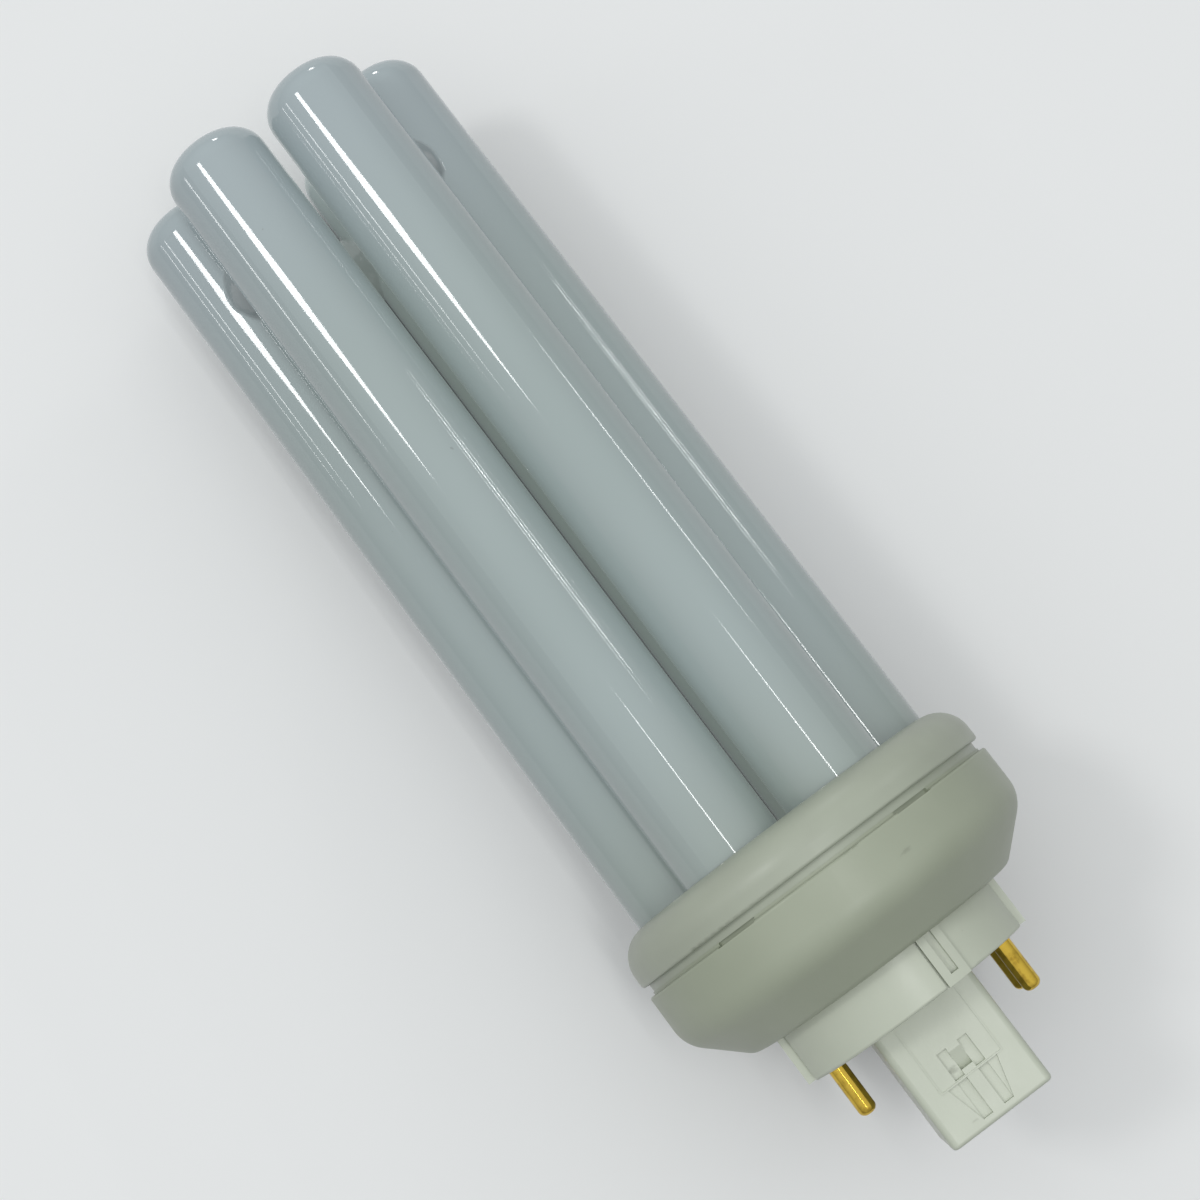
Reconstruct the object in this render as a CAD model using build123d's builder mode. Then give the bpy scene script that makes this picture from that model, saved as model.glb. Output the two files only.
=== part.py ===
from build123d import *
import os
from math import asin, atan2, cos, degrees, hypot, radians, sin, sqrt

# A plug-in compact fluorescent lamp: six glass limbs in a ring, a moulded cap and a four-pin plug.
# It lies on its side as it comes to rest, with the tips toward -X and the plug toward +X.
# Distances along the lamp are measured from the rim of the cap shell, positive toward the plug.

# Discharge tube
limb_count = 6
limb_radius = 6.3
limb_gap = 1.3
limb_reach = 109.0
limb_foot = 3.2
limb_foot_round = 2.6
tip_crown_rise = 1.1
tip_shoulder_round = 3.5
bridge_from_tip = 15.2
bridge_from_foot = 4.1
tip_bridge_half_length = 4.5
tip_bridge_half_height = 4.05
foot_bridge_half_length = 3.3
foot_bridge_half_height = 2.9
bridge_meniscus = 0.5
pinch_width = 9.0
pinch_thickness = 3.2
pinch_length = 2.0
pinch_round = 1.0

# Collar ring
collar_height = 6.9
collar_plate = 1.8
collar_round = 4.0
collar_edge_round = 0.4
cement_margin = 0.7
cement_depth = 2.5
limb_hole_clearance = 0.2
spigot_wall = 1.25
spigot_length = 2.8
neck_length = 1.25
neck_step = 0.85

# Snap hooks and their windows
hook_angles = (30, 150, 210, 330)
hook_width = 5.4
hook_height = 1.6
hook_reach = 0.45
hook_start = 0.9
window_depth = 0.15

# Cap shell
cap_wall = 1.6
cap_fit = 0.1
cap_depth = 12.0
cap_side = 6.6
cap_shoulder_round = 4.6
cap_floor_round = 1.8
cap_rim_round = 0.3
floor_margin = 2.2
lip_length = 0.35
lip_step = 0.15

# Contact pins
pin_spacing_across = 23.0
pin_spacing_through = 8.0
pin_radius = 1.1
pin_shank_radius = 1.3
pin_root_cone = 0.2
pin_reach = 6.5
pin_tip_round = 0.8
pin_head_radius = 1.55
pin_head_thickness = 0.8
pin_bore_depth = 3.0
wire_fit = 0.1

# Plug base
block_length = 6.1
block_wall = 1.5
flat_wall = 0.9
pin_rim_margin = 3.6
pin_head_clearance = 0.2
flange_overlap = 1.1
flange_thickness = 1.4
block_fit = 0.08
block_edge_round = 0.3
pin_boss_radius = 2.2
pin_boss_depth = 2.5
ledge_thickness = 0.95
ledge_width = 11.0
ledge_end_margin = 0.1

# Key ribs
key_offset = 4.7
key_width = 3.0
key_rise = 0.45
key_slot_width = 1.0
key_slot_end_wall = 1.05
key_slot_depth = 0.9
key_groove_width = 0.25
key_groove_depth = 0.5

# Guide post and its retention catch
post_width = 13.5
post_thickness = 16.6
post_length = 14.9
post_wall = 1.7
post_corner_round = 0.8
post_end_round = 0.5
panel_width = 8.4
panel_length = 9.2
panel_ridge = 0.16
panel_ridge_rise = 0.1
catch_start = 5.4
catch_end_margin = 1.0
catch_groove_width = 1.28
catch_tongue_width = 1.54
catch_groove_depth = 0.45
catch_bar = 0.3
catch_notch_start = 6.0
catch_notch_length = 2.3
catch_notch_depth = 0.9
catch_flare = 1.3
catch_flare_depth = 0.25

# Lead wires
wire_radius = 0.18
wire_pair_half_spacing = 2.0
wire_rise = 1.2
wire_lead_in = 0.4
wire_bend_share = 0.45

# Sizes that follow from those above
limb_pitch_radius = 2 * limb_radius + limb_gap
limb_step = 360 / limb_count
limb_angles = [limb_step * (place + 0.5) for place in range(limb_count)]
tip_bridge_angles = [limb_step * place for place in (1, 3, 5)]
foot_bridge_angles = [limb_step * place for place in (0, 2)]
pinch_angles = [limb_angles[3], limb_angles[4]]
bridge_circle_radius = limb_pitch_radius * cos(radians(limb_step / 2))
collar_bore_radius = limb_pitch_radius + limb_radius + cement_margin
spigot_radius = collar_bore_radius + spigot_wall
cap_bore_radius = spigot_radius + cap_fit
rim_radius = cap_bore_radius + cap_wall
neck_radius = rim_radius - neck_step
lip_radius = neck_radius + lip_step
plate_back = collar_plate - collar_height
hook_arc = degrees(hook_width / spigot_radius)
window_floor_radius = (cap_bore_radius + neck_radius) / 2
pin_circle_radius = hypot(pin_spacing_across / 2, pin_spacing_through / 2)
block_radius = pin_circle_radius + pin_rim_margin
block_flat = pin_spacing_across / 2 + pin_head_radius + pin_head_clearance + flat_wall
floor_radius = block_radius + floor_margin
block_end = cap_depth + block_length
post_end = block_end + post_length
pin_root = block_end + pin_root_cone
pin_end = block_end + pin_reach
key_top = sqrt((block_radius + key_rise) ** 2 - key_offset**2)
key_groove_offset = key_offset - key_width / 2 - key_groove_width / 2
key_groove_top = sqrt(block_radius**2 - key_groove_offset**2)
groove_offset = (catch_tongue_width + catch_groove_width) / 2
groove_end = post_length - catch_end_margin
bar_start = panel_length - catch_bar
bar_end = panel_length
flange_end = cap_depth - cap_wall
flange_start = flange_end - flange_thickness
pin_head_end = block_end - block_wall - pin_boss_depth
pin_start = pin_head_end - pin_head_thickness

# The tip of a limb is a shallow spherical crown, which its round shoulder meets from inside.
crown_radius = (limb_radius**2 + tip_crown_rise**2) / (2 * tip_crown_rise)
shoulder_offset = limb_radius - tip_shoulder_round
shoulder_depth = crown_radius - sqrt((crown_radius - tip_shoulder_round) ** 2 - shoulder_offset**2)

# Lying pose: the collar's round edge and the shoulders of the two lower limbs touch the surface.
collar_arc_drop = rim_radius - collar_round
collar_arc_place = collar_round - collar_height
limb_arc_drop = bridge_circle_radius + shoulder_offset
limb_arc_place = shoulder_depth - limb_reach
arc_span = collar_arc_place - limb_arc_place
arc_fall = collar_arc_drop - limb_arc_drop
arc_lean = asin((collar_round - tip_shoulder_round) / hypot(arc_span, arc_fall))
tilt = degrees(atan2(arc_fall, arc_span) + arc_lean)
tilt_cos = cos(radians(tilt))
tilt_sin = sin(radians(tilt))
axis_height = collar_arc_drop * tilt_cos + collar_round - collar_arc_place * tilt_sin

# The crowns of the upper limbs and the lower end edge of the post are the ends of the part along x.
tip_x = (crown_radius - limb_reach) * tilt_cos - bridge_circle_radius * tilt_sin - crown_radius
post_edge_place = post_end - post_end_round
post_edge_drop = post_thickness / 2 - post_end_round
post_x = post_edge_place * tilt_cos + post_edge_drop * tilt_sin + post_end_round
axis_x = -(tip_x + post_x) / 2

# Datum planes: one across the lamp, with z toward the plug, and one along it, with y toward the plug.
# The lamp is modelled upright on them. The lying plane is where the first one comes to rest, with x up.
lamp = Plane.XY
profile = Plane(origin=lamp.origin, x_dir=lamp.x_dir, z_dir=-lamp.y_dir)
lamp_axis = Axis(lamp.origin, lamp.z_dir)
lying = Plane(origin=(axis_x, 0, axis_height), x_dir=(-tilt_sin, 0, tilt_cos), z_dir=(tilt_cos, 0, tilt_sin))


def across(distance):
    """Plane across the lamp at a distance from the rim."""
    return lamp.offset(distance)


def turned_across(angle, distance):
    """Plane across the lamp, turned about the lamp's axis."""
    return Plane(across(distance).location * Rotation(0, 0, angle))


def at_limb(angle, distance):
    """Plane across the lamp at a limb's middle, with its x pointing away from the lamp's axis."""
    turned = turned_across(angle, distance)
    return Plane(turned.origin + turned.x_dir * limb_pitch_radius, x_dir=turned.x_dir, z_dir=turned.z_dir)


def at_bridge(angle, distance):
    """Plane through the middle of a bridge, square to the line between its two limbs."""
    turned = turned_across(angle, distance)
    middle = turned.origin + turned.x_dir * bridge_circle_radius
    return Plane(middle, x_dir=turned.z_dir, z_dir=turned.y_dir)


def at_hook(angle):
    """Plane along the lamp, turned about its axis to where the sweep of a snap hook starts."""
    return Plane(profile.location * Rotation(0, -angle - hook_arc / 2, 0))


def at_post_face(side):
    """Plane on a broad face of the guide post, from the block, with x toward the post's end."""
    middle = across(block_end).origin + lamp.x_dir * (side * post_thickness / 2)
    return Plane(middle, x_dir=lamp.z_dir, z_dir=lamp.x_dir * side)


def at_post_middle(side):
    """Plane along the guide post's middle, with x toward the post's end and y out of a broad face."""
    face = at_post_face(side)
    return Plane(face.origin, x_dir=face.x_dir, z_dir=-face.y_dir)


def draw_disc(margin):
    """Outline of the plug's round block in the sketch that is open: a disc with two flats."""
    Circle(block_radius + margin)
    Rectangle(2 * (block_radius + margin), 2 * (block_flat + margin), mode=Mode.INTERSECT)


def draw_ledges(margin):
    """Outline of the ledges on the block's flats, as one bar through the block."""
    Rectangle(ledge_width + 2 * margin, 2 * (block_flat + ledge_thickness + margin))


def wire_path(angle, side, pin_x, pin_y):
    """Corners and bend radii of a lead wire, which is in line with its pin before it enters the plug."""
    pinch = at_limb(angle, limb_foot + pinch_length)
    start = pinch.origin + pinch.y_dir * (side * wire_pair_half_spacing)
    rise = start + lamp.z_dir * wire_rise
    entry = across(flange_start - wire_lead_in).from_local_coords(Vector(pin_x, pin_y, 0))
    end = across(pin_start + pin_bore_depth).from_local_coords(Vector(pin_x, pin_y, 0))
    corners = [start, rise, entry, end]
    radii = []
    for before, corner, after in zip(corners, corners[1:], corners[2:]):
        incoming = corner - before
        outgoing = after - corner
        half_turn = radians(incoming.get_angle(outgoing) / 2)
        shorter = min(incoming.length, outgoing.length, wire_rise)
        radii.append(wire_bend_share * shorter * cos(half_turn) / sin(half_turn))
    return corners, radii


# One straight limb, with a shallow crown and a round shoulder at the tip and a round foot.
with BuildPart() as limb:
    with BuildSketch(Plane.XZ):
        with BuildLine():
            crown_edge = (limb_radius, tip_crown_rise - limb_reach)
            Polyline((0, -limb_reach), (0, limb_foot), (limb_radius, limb_foot), crown_edge)
            RadiusArc(crown_edge, (0, -limb_reach), crown_radius)
        make_face()
        fillet(vertices().group_by(Axis.X)[-1].sort_by(Axis.Y)[0], tip_shoulder_round)
        fillet(vertices().group_by(Axis.X)[-1].sort_by(Axis.Y)[-1], limb_foot_round)
    revolve(axis=Axis.Z)

# The discharge tube: six limbs fused by bridges in one chain, with a pinched seal at each end.
with BuildPart() as discharge_tube:
    for angle in limb_angles:
        with Locations(at_limb(angle, 0)):
            add(limb.part)
    for angle in tip_bridge_angles:
        with BuildSketch(at_bridge(angle, bridge_from_tip - limb_reach)):
            Ellipse(tip_bridge_half_length, tip_bridge_half_height)
        extrude(amount=limb_radius / 2, both=True)
        fillet(edges(Select.NEW), bridge_meniscus)
    for angle in foot_bridge_angles:
        with BuildSketch(at_bridge(angle, limb_foot - bridge_from_foot)):
            Ellipse(foot_bridge_half_length, foot_bridge_half_height)
        extrude(amount=limb_radius / 2, both=True)
        fillet(edges(Select.NEW), bridge_meniscus)
    for angle in pinch_angles:
        with BuildSketch(at_limb(angle, limb_foot - limb_foot_round)):
            RectangleRounded(pinch_thickness, pinch_width, pinch_round)
        extrude(amount=limb_foot_round + pinch_length)

# The collar ring: a cup with six limb holes, a recessed neck and a spigot that plugs into the cap shell.
with BuildPart() as collar_ring:
    with BuildSketch(profile):
        with BuildLine():
            Polyline(
                (0, -collar_height),
                (rim_radius, -collar_height),
                (rim_radius, -neck_length),
                (neck_radius, -neck_length),
                (neck_radius, -lip_length),
                (spigot_radius, -lip_length),
                (spigot_radius, spigot_length),
                (collar_bore_radius, spigot_length),
                (collar_bore_radius, plate_back),
                (0, plate_back),
                close=True,
            )
        make_face()
        fillet(vertices().group_by(Axis.X)[-1].sort_by(Axis.Y)[0], collar_round)
        fillet(vertices().group_by(Axis.X)[-1].sort_by(Axis.Y)[-1], collar_edge_round)
    revolve(axis=lamp_axis)
    with BuildSketch(across(-collar_height)):
        with PolarLocations(limb_pitch_radius, limb_count, start_angle=limb_angles[0]):
            Circle(limb_radius + limb_hole_clearance)
        for angle in foot_bridge_angles:
            with PolarLocations(bridge_circle_radius, 1, start_angle=angle):
                Rectangle(2 * foot_bridge_half_height, limb_radius)
    extrude(amount=collar_plate, mode=Mode.SUBTRACT)
    for angle in hook_angles:
        with BuildSketch(at_hook(angle)):
            with BuildLine():
                Polyline(
                    (spigot_radius - spigot_wall / 2, hook_start),
                    (spigot_radius + hook_reach, hook_start),
                    (spigot_radius, hook_start + hook_height),
                    (spigot_radius - spigot_wall / 2, hook_start + hook_height),
                    close=True,
                )
            make_face()
        revolve(axis=lamp_axis, revolution_arc=hook_arc)

# The compound that fills the collar's cup round the limbs and their hidden bridges.
with BuildPart() as tube_cement:
    with BuildSketch(across(plate_back)):
        Circle(collar_bore_radius)
    extrude(amount=cement_depth)
    add(discharge_tube.part, mode=Mode.SUBTRACT)

# The cap shell: a thin cup with a sloping shoulder, a lip at its rim and a hole in its floor for the plug.
with BuildPart() as cap_shell:
    with BuildSketch(profile):
        with BuildLine():
            Polyline(
                (0, 0),
                (rim_radius, 0),
                (rim_radius, cap_side),
                (floor_radius, cap_depth),
                (0, cap_depth),
                close=True,
            )
        make_face()
        fillet(vertices().group_by(Axis.X)[-1].sort_by(Axis.Y)[-1], cap_shoulder_round)
        fillet(vertices().group_by(Axis.Y)[-1].sort_by(Axis.X)[-1], cap_floor_round)
    revolve(axis=lamp_axis)
    offset(amount=-cap_wall, openings=faces().sort_by(lamp_axis)[0])
    fillet(faces().sort_by(lamp_axis)[0].outer_wire().edges(), cap_rim_round)
    with BuildSketch(across(-lip_length)):
        Circle(lip_radius)
        Circle(cap_bore_radius, mode=Mode.SUBTRACT)
    extrude(amount=lip_length + cap_rim_round)
    for angle in hook_angles:
        with BuildSketch(at_hook(angle)):
            with BuildLine():
                Polyline(
                    (cap_bore_radius - cap_fit, hook_start - cap_fit),
                    (cap_bore_radius + hook_reach, hook_start - cap_fit),
                    (cap_bore_radius, hook_start + hook_height + cap_fit),
                    (cap_bore_radius - cap_fit, hook_start + hook_height + cap_fit),
                    close=True,
                )
            make_face()
        revolve(axis=lamp_axis, revolution_arc=hook_arc, mode=Mode.SUBTRACT)
    with BuildSketch(across(-lip_length)):
        for angle in hook_angles:
            with PolarLocations(rim_radius, 1, start_angle=angle):
                Rectangle(2 * (rim_radius - window_floor_radius), hook_width)
    extrude(amount=lip_length + window_depth, mode=Mode.SUBTRACT)
    with BuildSketch(across(cap_depth)):
        draw_disc(block_fit)
        draw_ledges(block_fit)
    extrude(amount=-cap_wall, mode=Mode.SUBTRACT)

# The plug base: a hollow block on a flange, with ledges, key ribs, pin bosses and a hollow guide post.
with BuildPart() as plug_base:
    with BuildSketch(across(flange_start)):
        Circle(block_radius + flange_overlap)
    extrude(amount=flange_thickness)
    with BuildSketch(across(flange_start)):
        draw_disc(0)
    extrude(amount=block_end - flange_start)
    fillet(faces().sort_by(lamp_axis)[-1].outer_wire().edges(), block_edge_round)
    with BuildSketch(across(flange_start)):
        draw_ledges(0)
    extrude(amount=block_end - ledge_end_margin - flange_start)
    # Key ribs: a raised strip on each round side, with a slot in it and a fine groove along its edge
    with BuildSketch(across(cap_depth)):
        Circle(block_radius + key_rise)
        with Locations((block_radius, -key_offset), (-block_radius, key_offset)):
            Rectangle(block_radius, key_width, mode=Mode.INTERSECT)
    extrude(amount=block_length)
    with BuildSketch(across(cap_depth)):
        with Locations((key_top, -key_offset), (-key_top, key_offset)):
            Rectangle(2 * key_slot_depth, key_slot_width)
    extrude(amount=block_length - key_slot_end_wall, mode=Mode.SUBTRACT)
    with BuildSketch(across(cap_depth)):
        with Locations((key_groove_top, -key_groove_offset), (-key_groove_top, key_groove_offset)):
            Rectangle(2 * key_groove_depth, key_groove_width)
    extrude(amount=block_length, mode=Mode.SUBTRACT)
    with BuildSketch(across(block_end)):
        RectangleRounded(post_thickness, post_width, post_corner_round)
    extrude(amount=post_length)
    fillet(faces().sort_by(lamp_axis)[-1].outer_wire().edges(), post_end_round)
    # Retention catch on both broad faces: a fine ridge, two grooves crossed by a bar, and a notch
    for side in (1, -1):
        with BuildSketch(at_post_face(side)):
            Rectangle(panel_length, panel_width, align=(Align.MIN, Align.CENTER))
            Rectangle(
                panel_length - panel_ridge,
                panel_width - 2 * panel_ridge,
                align=(Align.MIN, Align.CENTER),
                mode=Mode.SUBTRACT,
            )
        extrude(amount=panel_ridge_rise)
        with BuildSketch(at_post_face(side)):
            for groove_y in (-groove_offset, groove_offset):
                with Locations((catch_start, groove_y)):
                    Rectangle(bar_start - catch_start, catch_groove_width, align=(Align.MIN, Align.CENTER))
                with Locations((bar_end, groove_y)):
                    Rectangle(groove_end - bar_end, catch_groove_width, align=(Align.MIN, Align.CENTER))
        extrude(amount=-catch_groove_depth, mode=Mode.SUBTRACT)
        with BuildSketch(at_post_face(side)):
            for flank in (1, -1):
                groove_edge = flank * (groove_offset + catch_groove_width / 2)
                flare_edge = groove_edge + flank * catch_flare
                with BuildLine():
                    groove_tip = (groove_end, groove_edge)
                    Polyline((bar_end, groove_edge), groove_tip, (bar_end, flare_edge), close=True)
                make_face()
        extrude(amount=-catch_flare_depth, mode=Mode.SUBTRACT)
        with BuildSketch(at_post_middle(side)):
            with BuildLine():
                notch_end = catch_notch_start + catch_notch_length
                notch_bottom = (notch_end, -catch_notch_depth)
                Polyline((catch_notch_start, 0), (notch_end, 0), notch_bottom, close=True)
            make_face()
        extrude(amount=catch_tongue_width / 2, both=True, mode=Mode.SUBTRACT)
    # Hollow of the block and of the post
    with BuildSketch(across(flange_start)):
        Circle(block_radius - block_wall)
        Rectangle(2 * block_radius, 2 * (block_flat - flat_wall), mode=Mode.INTERSECT)
    extrude(amount=block_end - block_wall - flange_start, mode=Mode.SUBTRACT)
    with BuildSketch(across(flange_start)):
        Rectangle(post_thickness - 2 * post_wall, post_width - 2 * post_wall)
    extrude(amount=post_end - post_wall - flange_start, mode=Mode.SUBTRACT)
    # Pin bosses and pin holes
    with BuildSketch(across(pin_head_end)):
        with GridLocations(pin_spacing_through, pin_spacing_across, 2, 2):
            Circle(pin_boss_radius)
    extrude(amount=block_end - block_wall - pin_head_end)
    with BuildSketch(across(pin_head_end)):
        with GridLocations(pin_spacing_through, pin_spacing_across, 2, 2):
            Circle(pin_shank_radius)
    extrude(amount=block_end - pin_head_end, mode=Mode.SUBTRACT)

# One turned contact pin: a head, a shank that fills its hole, a thinner blade with a round tip,
# and a bore in the head for the lead wire.
with BuildPart() as turned_pin:
    with BuildSketch(Plane.XZ):
        with BuildLine():
            Polyline(
                (wire_radius + wire_fit, pin_start),
                (pin_head_radius, pin_start),
                (pin_head_radius, pin_head_end),
                (pin_shank_radius, pin_head_end),
                (pin_shank_radius, block_end),
                (pin_radius, pin_root),
                (pin_radius, pin_end),
                (0, pin_end),
                (0, pin_start + pin_bore_depth),
                (wire_radius + wire_fit, pin_start + pin_bore_depth),
                close=True,
            )
        make_face()
        fillet(vertices().group_by(Axis.Y)[-1].sort_by(Axis.X)[-1], pin_tip_round)
    revolve(axis=Axis.Z)

# The four pins, in their holes
contact_pins = []
pin_places = []
for pin_x in (pin_spacing_through / 2, -pin_spacing_through / 2):
    for pin_y in (-pin_spacing_across / 2, pin_spacing_across / 2):
        pin_places.append((pin_x, pin_y))
for pin_x, pin_y in pin_places:
    with BuildPart(lamp) as contact_pin:
        with Locations((pin_x, pin_y)):
            add(turned_pin.part)
    contact_pins.append(contact_pin)

# Two lead wires from each pinched seal, bent round to the pins on their side of the plug.
lead_wires = []
for place, (pin_x, pin_y) in enumerate(pin_places):
    pinch_angle = pinch_angles[0] if pin_y > 0 else pinch_angles[1]
    wire_side = 1 if pin_x > 0 else -1
    corners, radii = wire_path(pinch_angle, wire_side, pin_x, pin_y)
    with BuildPart() as lead_wire:
        with BuildLine() as route:
            FilletPolyline(*corners, radius=radii)
        with BuildSketch(Plane(corners[0], x_dir=lamp.x_dir, z_dir=lamp.z_dir)):
            Circle(wire_radius)
        sweep(path=route.wires()[0])
    print("lead wire", place + 1, "bend radii", [round(radius, 2) for radius in radii])
    lead_wires.append(lead_wire)

# Names and files, with the lamp laid down
os.makedirs("parts", exist_ok=True)
pieces = {
    "discharge_tube": discharge_tube,
    "collar_ring": collar_ring,
    "tube_cement": tube_cement,
    "cap_shell": cap_shell,
    "plug_base": plug_base,
}
for place in range(len(pin_places)):
    pieces[f"contact_pin_{place + 1}"] = contact_pins[place]
    pieces[f"lead_wire_{place + 1}"] = lead_wires[place]
for name, piece in pieces.items():
    with BuildPart(lying) as laid:
        add(piece.part)
    laid.part.label = name
    export_step(laid.part, f"parts/{name}.step")
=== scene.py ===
import math

import bmesh
import bpy
from mathutils import Matrix, Vector

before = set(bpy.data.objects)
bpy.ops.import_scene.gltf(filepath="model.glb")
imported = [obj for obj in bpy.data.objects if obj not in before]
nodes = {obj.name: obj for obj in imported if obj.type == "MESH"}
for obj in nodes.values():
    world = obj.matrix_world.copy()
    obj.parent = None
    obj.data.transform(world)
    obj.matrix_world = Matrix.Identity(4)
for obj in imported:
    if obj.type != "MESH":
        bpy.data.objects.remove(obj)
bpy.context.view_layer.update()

# The discharge tube: six straight limbs of thin clear glass, closed with blown
# domes and joined by short fused bridges. The white powder that glows is baked
# on the inside of the wall, so a clear gloss lies over a matt pale grey.

LAMP_TILT = 0.0538
LAMP_CENTRE = (0.03807, 0.0, 0.02398)
MILLIMETRE = 0.001


class Shade:
    """A node's output in a material or the world. Arithmetic with it adds Math nodes there."""

    def __init__(self, tree, socket=None):
        self.tree = tree
        self.socket = socket

    def node(self, kind, sockets=None, output=0, **settings):
        """Adds any other node: its settings first, then the values or links of its sockets."""
        made = self.tree.nodes.new(kind)
        for name, value in settings.items():
            setattr(made, name, value)
        for name, value in (sockets or {}).items():
            if isinstance(value, Shade):
                self.tree.links.new(value.socket, made.inputs[name])
            else:
                made.inputs[name].default_value = value
        return Shade(self.tree, made.outputs[output] if made.outputs else None)

    def math(self, operation, *values):
        return self.node("ShaderNodeMath", dict(enumerate(values)), operation=operation)

    def __add__(self, other):
        return self.math("ADD", self, other)

    def __sub__(self, other):
        return self.math("SUBTRACT", self, other)

    def __rsub__(self, other):
        return self.math("SUBTRACT", other, self)

    def __mul__(self, other):
        if isinstance(other, tuple):
            return self.node("ShaderNodeVectorMath", {0: self, 1: other}, operation="MULTIPLY")
        return self.math("MULTIPLY", self, other)

    __radd__ = __add__
    __rmul__ = __mul__

    def larger(self, other):
        return self.math("MAXIMUM", self, other)

    def rise(self, low, high):
        """0 up to low and 1 from high on, with a smooth step between."""
        limits = {"Value": self, "From Min": low, "From Max": high}
        return self.node("ShaderNodeMapRange", limits, interpolation_type="SMOOTHSTEP")

    def blend(self, first, second):
        """The first colour where this is 0, and the second where it is 1."""
        return self.node("ShaderNodeMix", {0: self, 6: first, 7: second}, 2, data_type="RGBA")

    def grain(self, size, detail=2.0, stretch=(1.0, 1.0, 1.0)):
        """Noise at this place, with grains of about this size in mm, drawn out by stretch."""
        squeezed = self * tuple(1.0 / part for part in stretch)
        sockets = {"Vector": squeezed, "Scale": 1.0 / size, "Detail": detail}
        return self.node("ShaderNodeTexNoise", sockets)

    def part(self, axis):
        return self.node("ShaderNodeSeparateXYZ", {0: self}, axis)

    def distance(self, point, scale=(1.0, 1.0, 1.0)):
        """How far this place is from a point, in units of scale along each axis."""
        gap = self.node("ShaderNodeVectorMath", {0: self, 1: point}, operation="SUBTRACT")
        units = self.node("ShaderNodeVectorMath", {0: gap, 1: scale}, operation="DIVIDE")
        return self.node("ShaderNodeVectorMath", {0: units}, "Value", operation="LENGTH")

    def seen(self):
        """1 for what the camera, a reflection or a clear body looks at, and 0 for light on its way."""
        camera = self.node("ShaderNodeLightPath", output="Is Camera Ray")
        mirror = self.node("ShaderNodeLightPath", output="Is Glossy Ray")
        through = self.node("ShaderNodeLightPath", output="Is Transmission Ray")
        return camera.larger(mirror).larger(through)

    def relief(self, depth, after=None):
        """A normal bent by this height, where 1 stands for depth in mm."""
        sockets = {"Height": self, "Distance": depth * MILLIMETRE}
        if after is not None:
            sockets["Normal"] = after
        return self.node("ShaderNodeBump", sockets)


def tint(red, green, blue):
    """A colour as a screen shows it, 0 to 255, in the linear values that a shader takes."""
    return (*(((part / 255 + 0.055) / 1.055) ** 2.4 for part in (red, green, blue)), 1.0)


def new_finish(name):
    """An empty material, and a place in mm along the lamp, across it and up from its axis."""
    material = bpy.data.materials.new(name)
    material.use_nodes = True
    material.node_tree.nodes.clear()
    start = Shade(material.node_tree)
    world_place = start.node("ShaderNodeTexCoord", output="Object")
    lamp_frame = {
        "Vector": world_place,
        "Location": LAMP_CENTRE,
        "Rotation": (0.0, -LAMP_TILT, 0.0),
        "Scale": (MILLIMETRE, MILLIMETRE, MILLIMETRE),
    }
    return material, start.node("ShaderNodeMapping", lamp_frame, vector_type="TEXTURE")


def lay_on(place, **sockets):
    """Finishes a material with one shader, its socket names written with underscores."""
    named = {name.replace("_", " "): value for name, value in sockets.items()}
    shader = place.node("ShaderNodeBsdfPrincipled", named)
    place.node("ShaderNodeOutputMaterial", {"Surface": shader})


POWDER = tint(151, 164, 161)
POWDER_TIP_PAINTED_LIGHT = tint(156, 168, 170)
POWDER_FOOT_SHADE_AND_BLACKENING = tint(143, 154, 146)
POWDER_CLOUD = tint(172, 183, 184)
TIP_LIGHT_FADE = (-108.0, -70.0)
FOOT_SHADE_FADE = (-30.0, 0.0)
CLOUD_SIZE = 9.0
CLOUD_STRETCH = (4.0, 1.0, 1.0)
CLOUD_SHARE = 0.14

glass, place = new_finish("coated_glass_finish")
along = place.part("X")
# Painted light and shade: the powder is painted lighter and bluer towards the tips as painted light,
# and darker and greener towards the foot as painted shade. At the foot the darkening also stands for
# the blackening near the electrodes.
tone = along.rise(*TIP_LIGHT_FADE).blend(POWDER_TIP_PAINTED_LIGHT, POWDER)
tone = along.rise(*FOOT_SHADE_FADE).blend(tone, POWDER_FOOT_SHADE_AND_BLACKENING)
cloud = place.grain(CLOUD_SIZE, 3.0, CLOUD_STRETCH).rise(0.35, 0.75)
tone = (cloud * CLOUD_SHARE).blend(tone, POWDER_CLOUD)

# Where the glass was melted for the three bridges near the tips, it is wavy and
# the powder is thin, so the bridges look darker. A few specks lie under the wall.

BRIDGE_GREY = tint(120, 129, 129)
BRIDGE_CIRCLE = 12.04
BRIDGE_ALONG = -93.8
BRIDGE_TURNS = (60, 180, 300)
BRIDGE_REACH = (5.0, 4.5, 4.5)
BRIDGE_EDGE = (1.02, 1.12)
BRIDGE_SHARE = 0.8
RIPPLE_SIZE = 1.6
RIPPLE_REACH = 0.16
SPECK = tint(100, 98, 90)
SPECK_SIZE = 1.1
SPECK_EDGE = (0.835, 0.86)
SPECK_SHARE = 0.35

ripple = place.grain(RIPPLE_SIZE, 2.0) * RIPPLE_REACH
bare = None
for turn in BRIDGE_TURNS:
    angle = math.radians(turn)
    middle = (BRIDGE_ALONG, -BRIDGE_CIRCLE * math.sin(angle), BRIDGE_CIRCLE * math.cos(angle))
    near = 1.0 - (place.distance(middle, BRIDGE_REACH) + ripple).rise(*BRIDGE_EDGE)
    bare = near if bare is None else bare.larger(near)
tone = (bare * BRIDGE_SHARE).blend(tone, BRIDGE_GREY)
specks = place.grain(SPECK_SIZE, 1.0).rise(*SPECK_EDGE)
tone = (specks * SPECK_SHARE).blend(tone, SPECK)

# Light passes through the thin white walls. A faint emission stands for it, and
# is a little brighter where the limbs face each other round the lamp's middle.

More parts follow.
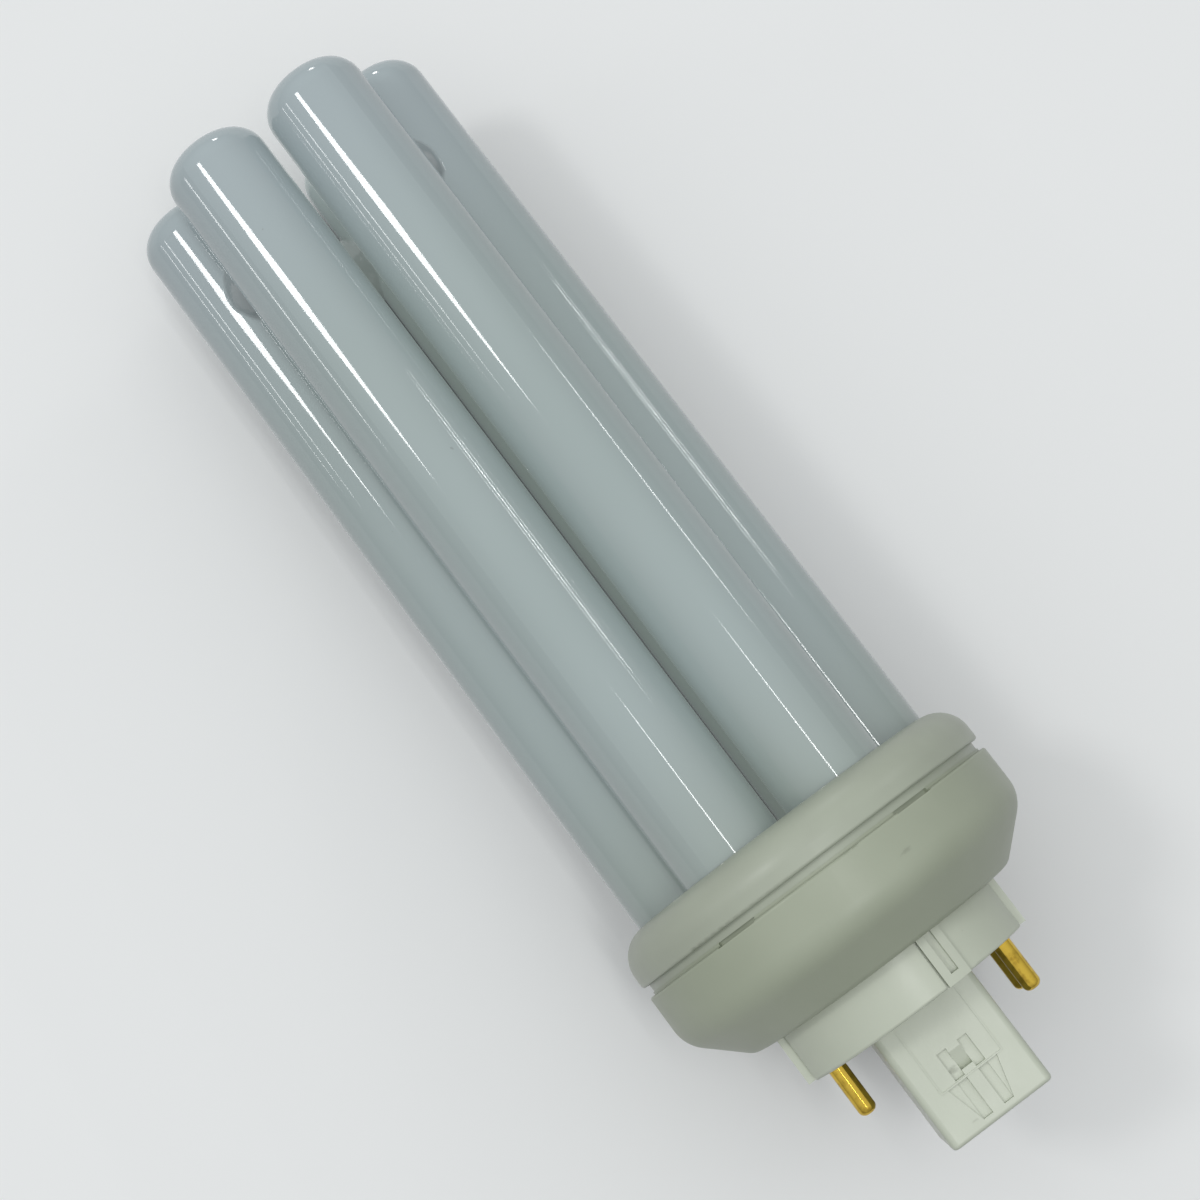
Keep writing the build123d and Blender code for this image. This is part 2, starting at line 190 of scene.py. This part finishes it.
THROUGH_OUTSIDE = tint(54, 57, 60)
THROUGH_INSIDE = tint(90, 95, 92)
INSIDE_REACH = 8.0
OUTSIDE_REACH = 17.0
DRAWN_SIZE = 5.0
DRAWN_STRETCH = (12.0, 1.0, 1.0)
DRAWN_DEPTH = 0.002
WORKED_SIZE = 1.5
WORKED_DEPTH = 0.10
SMEAR_SIZE = 3.0

from_axis = (place * (0.0, 1.0, 1.0)).distance((0.0, 0.0, 0.0))
glow = 1.0 - from_axis.rise(INSIDE_REACH, OUTSIDE_REACH)
drawn = place.grain(DRAWN_SIZE, 0.0, DRAWN_STRETCH).relief(DRAWN_DEPTH)
worked = (bare * place.grain(WORKED_SIZE, 1.0)).relief(WORKED_DEPTH, drawn)
smears = place.grain(SMEAR_SIZE, 3.0).rise(0.55, 0.8)
lay_on(
    place,
    Base_Color=tone,
    Roughness=0.05 + bare * 0.08 + smears * 0.03,
    IOR=1.65,
    Emission_Color=glow.blend(THROUGH_OUTSIDE, THROUGH_INSIDE),
    Emission_Strength=1.0,
    Normal=worked,
)
nodes["discharge_tube"].material_slots[0].material = glass

# The collar ring and the cap shell: two mouldings in the same warm grey heat
# resistant plastic. The ring carries the glass and snaps into the shell with
# four hooks, so a fine seam with four small windows runs round the lamp.

RING_GREY = tint(166, 172, 156)
RING_GREY_LIGHT = tint(178, 186, 167)
RING_ROUGHNESS = 0.30
SHELL_GREY = tint(160, 167, 147)
SHELL_GREY_LIGHT = tint(169, 176, 156)
SHELL_ROUGHNESS = 0.32
SOOT = tint(104, 104, 92)
PALE_PATCH_SIZE = 7.0
SCUFF_SIZE = 2.2
SCUFF_STRETCH = (1.0, 2.6, 1.0)
SCUFF_EDGE = (0.70, 0.78)
SKIN_DEPTH = 0.008
WAVE_SIZE = 6.0
WAVE_DEPTH = 0.02
DULL_PATCH_SIZE = 4.0


def mould_finish(name, colour, lighter, roughness, pit=0.35):
    """A moulded plastic with a fine matt skin of pits, paler patches and the odd scuff."""
    material, place = new_finish(name)
    pale = place.grain(PALE_PATCH_SIZE, 4.0).rise(0.3, 0.75)
    tone = (pale * 0.35).blend(colour, lighter)
    scuffs = place.grain(SCUFF_SIZE, 5.0, SCUFF_STRETCH).rise(*SCUFF_EDGE)
    tone = (scuffs * 0.35).blend(tone, SOOT)
    skin = place.grain(pit, 3.0).relief(SKIN_DEPTH)
    wave = place.grain(WAVE_SIZE, 1.0).relief(WAVE_DEPTH, skin)
    lay_on(
        place,
        Base_Color=tone,
        Roughness=roughness + place.grain(DULL_PATCH_SIZE, 3.0) * 0.12 + scuffs * 0.1,
        IOR=1.49,
        Normal=wave,
    )
    return material


nodes["collar_ring"].material_slots[0].material = mould_finish(
    "collar_plastic_finish", RING_GREY, RING_GREY_LIGHT, RING_ROUGHNESS
)
nodes["cap_shell"].material_slots[0].material = mould_finish(
    "shell_plastic_finish", SHELL_GREY, SHELL_GREY_LIGHT, SHELL_ROUGHNESS
)

# The sealing compound: a chalky white putty, poured round the six limbs from
# below and baked hard. It is inside the closed cap.

CEMENT_GREY = tint(196, 192, 182)
CEMENT_WHITE = tint(222, 219, 210)
CRUMB_SIZE = 0.6
CRUMB_DEPTH = 0.08

cement, place = new_finish("sealing_compound_finish")
crumbs = place.grain(CRUMB_SIZE, 4.0)
lay_on(
    place,
    Base_Color=crumbs.rise(0.3, 0.7).blend(CEMENT_GREY, CEMENT_WHITE),
    Roughness=0.85 + crumbs * 0.1,
    Normal=crumbs.relief(CRUMB_DEPTH),
)
nodes["tube_cement"].material_slots[0].material = cement

# The plug base: a paler and slightly glossier moulding that fills the shell's
# floor and holds the pins, with the hollow guide post in the middle.

PLUG_GREY = tint(192, 198, 181)
PLUG_GREY_LIGHT = tint(203, 208, 192)
PLUG_ROUGHNESS = 0.26
PLUG_PIT = 0.5

nodes["plug_base"].material_slots[0].material = mould_finish(
    "plug_plastic_finish", PLUG_GREY, PLUG_GREY_LIGHT, PLUG_ROUGHNESS, PLUG_PIT
)

# The four contact pins: turned from brass rod, polished, and pressed into the
# block. They keep fine rings from the tool and are dull in patches.

BRASS = tint(208, 176, 72)
BRASS_WORN = tint(132, 102, 32)
TOOL_MARK_SIZE = 0.16
TOOL_MARK_STRETCH = (1.0, 40.0, 40.0)
TOOL_MARK_DEPTH = 0.004
TARNISH_SIZE = 1.1
TARNISH_EDGE = (0.45, 0.75)
TARNISH_SHARE = 0.7
PIN_NUMBERS = range(1, 5)

brass, place = new_finish("pin_brass_finish")
rings = place.grain(TOOL_MARK_SIZE, 2.0, TOOL_MARK_STRETCH)
tarnish = place.grain(TARNISH_SIZE, 3.0).rise(*TARNISH_EDGE)
lay_on(
    place,
    Base_Color=(tarnish * TARNISH_SHARE).blend(BRASS, BRASS_WORN),
    Metallic=1.0,
    Roughness=0.09 + tarnish * 0.12,
    Normal=rings.relief(TOOL_MARK_DEPTH),
)
for number in PIN_NUMBERS:
    nodes[f"contact_pin_{number}"].material_slots[0].material = brass

# The lead wires: two soft steel wires from each pinched limb end, each welded
# to the head of its pin. They are inside the closed cap.

STEEL_DARK = tint(168, 166, 160)
STEEL_LIGHT = tint(198, 197, 193)
DIE_LINE_SIZE = 0.25
DIE_LINE_STRETCH = (6.0, 1.0, 1.0)
DIE_LINE_DEPTH = 0.004

steel, place = new_finish("lead_wire_finish")
die_lines = place.grain(DIE_LINE_SIZE, 2.0, DIE_LINE_STRETCH)
lay_on(
    place,
    Base_Color=die_lines.blend(STEEL_DARK, STEEL_LIGHT),
    Metallic=1.0,
    Roughness=0.28 + die_lines * 0.15,
    Normal=die_lines.relief(DIE_LINE_DEPTH),
)
for number in PIN_NUMBERS:
    nodes[f"lead_wire_{number}"].material_slots[0].material = steel

# The table: a plain sheet of pale matt paper that the lamp lies on. It throws
# less light back than it shows, so that the underside of the lamp stays dark.

TABLE_HALF = 3.0
TABLE_SHOWN = tint(236, 237, 236)
TABLE_THROWN = tint(112, 112, 112)

table_mesh = bpy.data.meshes.new("table_top")
build = bmesh.new()
corners = [(-1, -1), (1, -1), (1, 1), (-1, 1)]
build.faces.new([build.verts.new((x * TABLE_HALF, y * TABLE_HALF, 0.0)) for x, y in corners])
build.to_mesh(table_mesh)
build.free()
table = bpy.data.objects.new("table_top", table_mesh)
bpy.context.scene.collection.objects.link(table)
paper, place = new_finish("pale_table_finish")
lay_on(place, Base_Color=place.seen().blend(TABLE_THROWN, TABLE_SHOWN), Roughness=0.9)
table_mesh.materials.append(paper)

# The studio lamps: a square one on its corner and a small low one by the tips,
# and narrow strips by the tips, the middle and the foot. Their reflections are
# the streaks along the limbs. Places and sizes are in metres.


def hang_panel(name, place, length, width, brightness, spin=0.0, shape="ELLIPSE"):
    """A flat lamp of this brightness that faces the part, its length along the glass limbs."""
    light = bpy.data.lights.new(name, "AREA")
    light.shape = shape
    light.size = length
    light.size_y = width
    area = length * width * (math.pi / 4 if shape == "ELLIPSE" else 1.0)
    light.energy = brightness * math.pi * area
    panel = bpy.data.objects.new(name, light)
    back = Vector(place).normalized()
    side = Vector((1.0, 0.0, 0.0))
    side = (side - back * side.dot(back)).normalized()
    facing = Matrix((side, back.cross(side), back)).transposed()
    turn = facing @ Matrix.Rotation(math.radians(spin), 3, "Z")
    panel.matrix_world = Matrix.Translation(place) @ turn.to_4x4()
    bpy.context.scene.collection.objects.link(panel)


hang_panel(
    "lamp_by_tips",
    (-0.71, -0.745, 1.46),
    length=0.31,
    width=0.31,
    brightness=12.0,
    spin=45.0,
    shape="RECTANGLE",
)
hang_panel("lamp_by_tips_far_1", (-0.60, -1.21, 0.73), length=0.36, width=0.045, brightness=7.0)
hang_panel("lamp_by_tips_far_2", (-0.60, -1.36, 0.41), length=0.36, width=0.03, brightness=7.0)
hang_panel("lamp_by_middle", (-0.33, 1.30, 0.68), length=0.29, width=0.022, brightness=26.0)
hang_panel("lamp_by_middle_above", (-0.31, 1.215, 0.82), length=0.27, width=0.02, brightness=12.0)
hang_panel("lamp_by_middle_below", (-0.35, 1.365, 0.53), length=0.25, width=0.02, brightness=12.0)
hang_panel("lamp_by_foot", (0.04, 0.20, 1.52), length=0.56, width=0.06, brightness=14.0)
hang_panel("lamp_by_foot_wide", (0.30, 0.11, 1.50), length=0.50, width=0.09, brightness=16.0)
hang_panel("low_lamp_by_tips", (-1.45, 0.55, 0.35), length=0.22, width=0.20, brightness=12.0)

# The room: pale walls that fill in soft light, most of it from overhead and
# from the side of the tips. The backdrop is pale too, in every view.

ROOM_COLOUR = (0.96, 0.98, 1.0, 1.0)
TIP_SIDE_SHARE = 0.25
OVERHEAD_RANGE = (-0.05, 1.05)

world = bpy.data.worlds.new("studio_room")
world.use_nodes = True
world.node_tree.nodes.clear()
room = Shade(world.node_tree)
toward = room.node("ShaderNodeTexCoord", output="Generated")
overhead = (toward.part("Z") - toward.part("X") * TIP_SIDE_SHARE).rise(*OVERHEAD_RANGE)
light_level = 0.04 + overhead * 0.94
backdrop_level = 0.50 + overhead * 0.42
seen = room.seen()
level = (1.0 - seen) * light_level + seen * backdrop_level
air = room.node("ShaderNodeBackground", {"Color": ROOM_COLOUR, "Strength": level})
room.node("ShaderNodeOutputWorld", {"Surface": air})
bpy.context.scene.world = world
bpy.context.scene.view_settings.view_transform = "Standard"

# The camera: almost straight above the lamp, near enough that the upper limbs
# look larger than the lower ones, with the lamp lying from corner to corner.

camera = bpy.data.objects.new("camera", bpy.data.cameras.new("camera"))
camera.location = (0.02319, -0.01290, 0.28959)
camera.rotation_euler = (0.10213, 0.02116, 0.93038)
camera.data.sensor_width = 36.0
camera.data.lens = 68.973
camera.data.clip_start = 0.01
bpy.context.scene.collection.objects.link(camera)
bpy.context.scene.camera = camera
